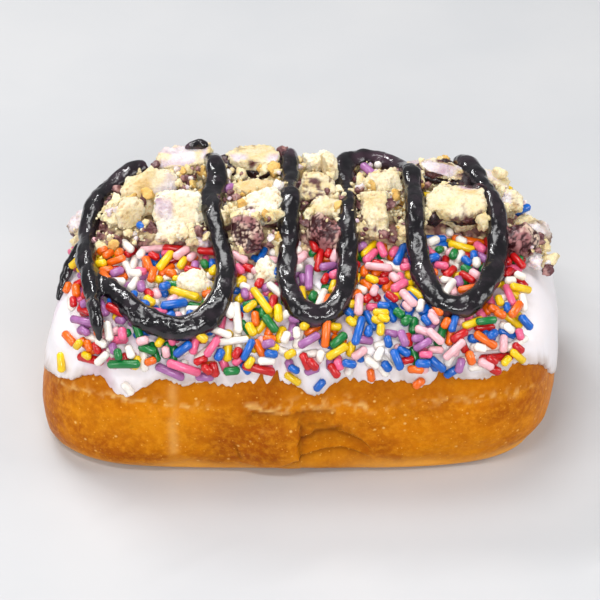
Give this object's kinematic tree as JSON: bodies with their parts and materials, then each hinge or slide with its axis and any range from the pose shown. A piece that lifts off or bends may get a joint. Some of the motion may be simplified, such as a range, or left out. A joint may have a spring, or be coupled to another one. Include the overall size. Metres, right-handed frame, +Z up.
{
  "type": "iced bar doughnut with toaster pastry crumbs",
  "caption": "Bar doughnut dipped in white icing, with rainbow sprinkles in front, broken fruit toaster pastry heaped behind and a thick dark fruit drizzle in loops.",
  "frame": {"origin": "on the table, under the middle of the bar's outline", "axes": "+X along the bar towards its right end, +Y towards the back where the pastry is heaped, +Z up"},
  "size_m": [0.1225, 0.076, 0.0575],
  "materials": {
    "dough": "golden fried dough, faintly oily",
    "icing": "white icing, set, soft sheen",
    "crust": "dry baked pastry, crumbly",
    "frosting": "pale dry frosting",
    "filling": "dark fruit filling, sticky",
    "drizzle": "near-black fruit syrup, glossy",
    "sprinkle_red": "sugar sprinkle, waxy sheen",
    "sprinkle_orange": "sugar sprinkle, waxy sheen",
    "sprinkle_yellow": "sugar sprinkle, waxy sheen",
    "sprinkle_green": "sugar sprinkle, waxy sheen",
    "sprinkle_blue": "sugar sprinkle, waxy sheen",
    "sprinkle_pink": "sugar sprinkle, waxy sheen",
    "sprinkle_lilac": "sugar sprinkle, waxy sheen",
    "sprinkle_white": "sugar sprinkle, waxy sheen"
  },
  "bodies": {
    "root": {"dough": "dough", "icing": "icing", "crumb_heap": "crust", "pastry_tall": "crust", "pastry_baked_side": "crust", "pastry_pale": "crust", "pastry_corner": "crust", "pastry_jam_left": "filling", "pastry_left_end": "crust", "pastry_roof_base": "crust", "pastry_roof_filling": "filling", "pastry_roof_top": "crust", "pastry_cream": "crust", "pastry_sliver": "crust", "pastry_golden": "crust", "pastry_crumbly": "crust", "pastry_jam_front": "filling", "pastry_small_pale": "crust", "pastry_cluster": "crust", "pastry_slab": "crust", "pastry_jam_lump": "filling", "pastry_rough": "crust", "pastry_behind_rough": "crust", "pastry_far_right_base": "crust", "pastry_far_right_filling": "filling", "pastry_far_right_top": "crust", "pastry_big_right_base": "crust", "pastry_big_right_filling": "filling", "pastry_big_right_top": "crust", "pastry_right_shard": "crust", "pastry_right_end": "crust", "pastry_right_front": "filling", "pastry_in_loop": "crust", "pastry_back_left": "crust", "pastry_back_middle": "crust", "pastry_back_right": "crust"}
  },
  "joints": []
}
